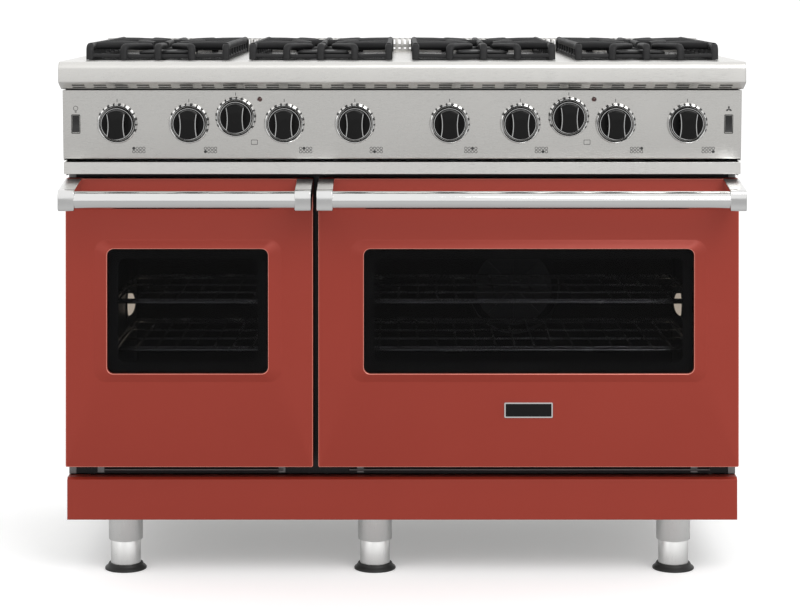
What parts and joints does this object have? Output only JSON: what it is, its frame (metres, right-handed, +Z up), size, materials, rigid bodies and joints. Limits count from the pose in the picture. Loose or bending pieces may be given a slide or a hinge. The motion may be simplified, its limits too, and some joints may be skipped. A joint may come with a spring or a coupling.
{
  "type": "freestanding gas range",
  "caption": "Wide freestanding gas range with side-by-side ovens, drop-down doors with bar handles, cast grates over open burners, front knobs and levelling feet",
  "frame": {"origin": "on the floor, under the middle of the range's bounding box", "axes": "+X runs to the right along the front as the cook faces it, -Y is the front with the doors and knobs, +Z is up"},
  "size_m": [1.216, 0.728, 0.965],
  "materials": {
    "stainless": "brushed",
    "chrome": "polished",
    "red_enamel": "gloss enamel over brushed metal",
    "black_enamel": "gloss porcelain enamel",
    "cast_iron": "matte porcelain over cast iron",
    "black_plastic": "gloss",
    "smoked_glass": "polished",
    "rack_wire": "plated wire",
    "zinc_sheet": "zinc coated",
    "brass": "satin"
  },
  "bodies": {
    "range_body": {"left_side_panel": "stainless", "right_side_panel": "stainless", "base_pan": "stainless", "vent_trim": "stainless", "main_top": "stainless", "landing_ledge": "stainless", "island_trim": "stainless", "control_panel": "stainless", "kick_panel": "red_enamel", "front_frame": "black_enamel", "small_oven_liner": "black_enamel", "large_oven_liner": "black_enamel", "back_panel": "zinc_sheet", "small_door_hinge_left": "zinc_sheet", "small_door_hinge_right": "zinc_sheet", "large_door_hinge_left": "zinc_sheet", "large_door_hinge_right": "zinc_sheet", "gas_manifold": "brass", "burner_front_1": "black_enamel", "burner_rear_1": "black_enamel", "burner_front_2": "black_enamel", "burner_rear_2": "black_enamel", "burner_front_3": "black_enamel", "burner_rear_3": "black_enamel", "burner_front_4": "black_enamel", "burner_rear_4": "black_enamel"},
    "small_door": {"small_door_panel": "red_enamel", "small_door_glass": "smoked_glass", "small_door_inner": "black_enamel", "small_door_handle": "chrome"},
    "large_door": {"large_door_panel": "red_enamel", "large_door_glass": "smoked_glass", "large_door_inner": "black_enamel", "large_door_handle": "chrome"},
    "knob_burner_1": {"knob_burner_1": "black_plastic"},
    "knob_burner_2": {"knob_burner_2": "black_plastic"},
    "knob_small_oven": {"knob_small_oven": "black_plastic"},
    "knob_burner_3": {"knob_burner_3": "black_plastic"},
    "knob_burner_4": {"knob_burner_4": "black_plastic"},
    "knob_burner_5": {"knob_burner_5": "black_plastic"},
    "knob_burner_6": {"knob_burner_6": "black_plastic"},
    "knob_large_oven": {"knob_large_oven": "black_plastic"},
    "knob_burner_7": {"knob_burner_7": "black_plastic"},
    "knob_burner_8": {"knob_burner_8": "black_plastic"},
    "switch_light": {"switch_light": "black_plastic"},
    "switch_fan": {"switch_fan": "black_plastic"},
    "small_rack_upper": {"small_rack_upper": "rack_wire"},
    "small_rack_lower": {"small_rack_lower": "rack_wire"},
    "large_rack_upper": {"large_rack_upper": "rack_wire"},
    "large_rack_lower": {"large_rack_lower": "rack_wire"},
    "grate_1": {"grate_1": "cast_iron"},
    "grate_2": {"grate_2": "cast_iron"},
    "grate_3": {"grate_3": "cast_iron"},
    "grate_4": {"grate_4": "cast_iron"},
    "foot_front_left": {"foot_front_left": "black_plastic"},
    "foot_front_middle": {"foot_front_middle": "black_plastic"},
    "foot_front_right": {"foot_front_right": "black_plastic"},
    "foot_rear_left": {"foot_rear_left": "black_plastic"},
    "foot_rear_right": {"foot_rear_right": "black_plastic"},
    "convection_fan": {"convection_fan": "zinc_sheet"}
  },
  "joints": [
    {"name": "small_door_swing", "type": "hinge", "parent": "range_body", "child": "small_door", "pos_m": [-0.383, -0.236, 0.216], "axis": [1, 0, 0], "range_deg": [0, 88], "stiffness_Nm_per_rad": 9, "springref_deg": -34.38},
    {"name": "large_door_swing", "type": "hinge", "parent": "range_body", "child": "large_door", "pos_m": [0.22725, -0.236, 0.216], "axis": [1, 0, 0], "range_deg": [0, 88], "stiffness_Nm_per_rad": 15, "springref_deg": -34.38},
    {"name": "knob_burner_1_turn", "type": "hinge", "parent": "range_body", "child": "knob_burner_1", "pos_m": [-0.5085, -0.29572, 0.82299], "axis": [0, -0.9962, -0.0872], "range_deg": [0, 270]},
    {"name": "knob_burner_2_turn", "type": "hinge", "parent": "range_body", "child": "knob_burner_2", "pos_m": [-0.3805, -0.29572, 0.82299], "axis": [0, -0.9962, -0.0872], "range_deg": [0, 270]},
    {"name": "knob_small_oven_turn", "type": "hinge", "parent": "range_body", "child": "knob_small_oven", "pos_m": [-0.297, -0.29672, 0.83445], "axis": [0, 0.9962, 0.0872], "range_deg": [0, 290]},
    {"name": "knob_burner_3_turn", "type": "hinge", "parent": "range_body", "child": "knob_burner_3", "pos_m": [-0.2105, -0.29572, 0.82299], "axis": [0, -0.9962, -0.0872], "range_deg": [0, 270]},
    {"name": "knob_burner_4_turn", "type": "hinge", "parent": "range_body", "child": "knob_burner_4", "pos_m": [-0.0845, -0.29572, 0.82299], "axis": [0, -0.9962, -0.0872], "range_deg": [0, 270]},
    {"name": "knob_burner_5_turn", "type": "hinge", "parent": "range_body", "child": "knob_burner_5", "pos_m": [0.0845, -0.29572, 0.82299], "axis": [0, -0.9962, -0.0872], "range_deg": [0, 270]},
    {"name": "knob_burner_6_turn", "type": "hinge", "parent": "range_body", "child": "knob_burner_6", "pos_m": [0.2105, -0.29572, 0.82299], "axis": [0, -0.9962, -0.0872], "range_deg": [0, 270]},
    {"name": "knob_large_oven_turn", "type": "hinge", "parent": "range_body", "child": "knob_large_oven", "pos_m": [0.297, -0.29672, 0.83445], "axis": [0, 0.9962, 0.0872], "range_deg": [0, 290]},
    {"name": "knob_burner_7_turn", "type": "hinge", "parent": "range_body", "child": "knob_burner_7", "pos_m": [0.3805, -0.29572, 0.82299], "axis": [0, -0.9962, -0.0872], "range_deg": [0, 270]},
    {"name": "knob_burner_8_turn", "type": "hinge", "parent": "range_body", "child": "knob_burner_8", "pos_m": [0.5085, -0.29572, 0.82299], "axis": [0, -0.9962, -0.0872], "range_deg": [0, 270]},
    {"name": "switch_light_rock", "type": "hinge", "parent": "range_body", "child": "switch_light", "pos_m": [-0.5825, -0.29162, 0.82204], "axis": [1, 0, 0], "range_deg": [0, 12]},
    {"name": "switch_fan_rock", "type": "hinge", "parent": "range_body", "child": "switch_fan", "pos_m": [0.5825, -0.29162, 0.82204], "axis": [1, 0, 0], "range_deg": [0, 12]},
    {"name": "small_rack_upper_slide", "type": "slide", "parent": "range_body", "child": "small_rack_upper", "axis": [0, -1, 0], "range_m": [0, 0.038]},
    {"name": "small_rack_lower_slide", "type": "slide", "parent": "range_body", "child": "small_rack_lower", "axis": [0, -1, 0], "range_m": [0, 0.038]},
    {"name": "large_rack_upper_slide", "type": "slide", "parent": "range_body", "child": "large_rack_upper", "axis": [0, -1, 0], "range_m": [0, 0.038]},
    {"name": "large_rack_lower_slide", "type": "slide", "parent": "range_body", "child": "large_rack_lower", "axis": [0, -1, 0], "range_m": [0, 0.038]},
    {"name": "grate_1_lift", "type": "slide", "parent": "range_body", "child": "grate_1", "axis": [0, 0, 1], "range_m": [0, 0.1]},
    {"name": "grate_2_lift", "type": "slide", "parent": "range_body", "child": "grate_2", "axis": [0, 0, 1], "range_m": [0, 0.1]},
    {"name": "grate_3_lift", "type": "slide", "parent": "range_body", "child": "grate_3", "axis": [0, 0, 1], "range_m": [0, 0.1]},
    {"name": "grate_4_lift", "type": "slide", "parent": "range_body", "child": "grate_4", "axis": [0, 0, 1], "range_m": [0, 0.1]},
    {"name": "foot_front_left_level", "type": "slide", "parent": "range_body", "child": "foot_front_left", "axis": [0, 0, 1], "range_m": [0, 0.04]},
    {"name": "foot_front_middle_level", "type": "slide", "parent": "range_body", "child": "foot_front_middle", "axis": [0, 0, 1], "range_m": [0, 0.04]},
    {"name": "foot_front_right_level", "type": "slide", "parent": "range_body", "child": "foot_front_right", "axis": [0, 0, 1], "range_m": [0, 0.04]},
    {"name": "foot_rear_left_level", "type": "slide", "parent": "range_body", "child": "foot_rear_left", "axis": [0, 0, 1], "range_m": [0, 0.04]},
    {"name": "foot_rear_right_level", "type": "slide", "parent": "range_body", "child": "foot_rear_right", "axis": [0, 0, 1], "range_m": [0, 0.04]},
    {"name": "convection_fan_spin", "type": "hinge", "parent": "range_body", "child": "convection_fan", "pos_m": [0.227, 0.29, 0.455], "axis": [0, -1, 0], "continuous": true}
  ]
}
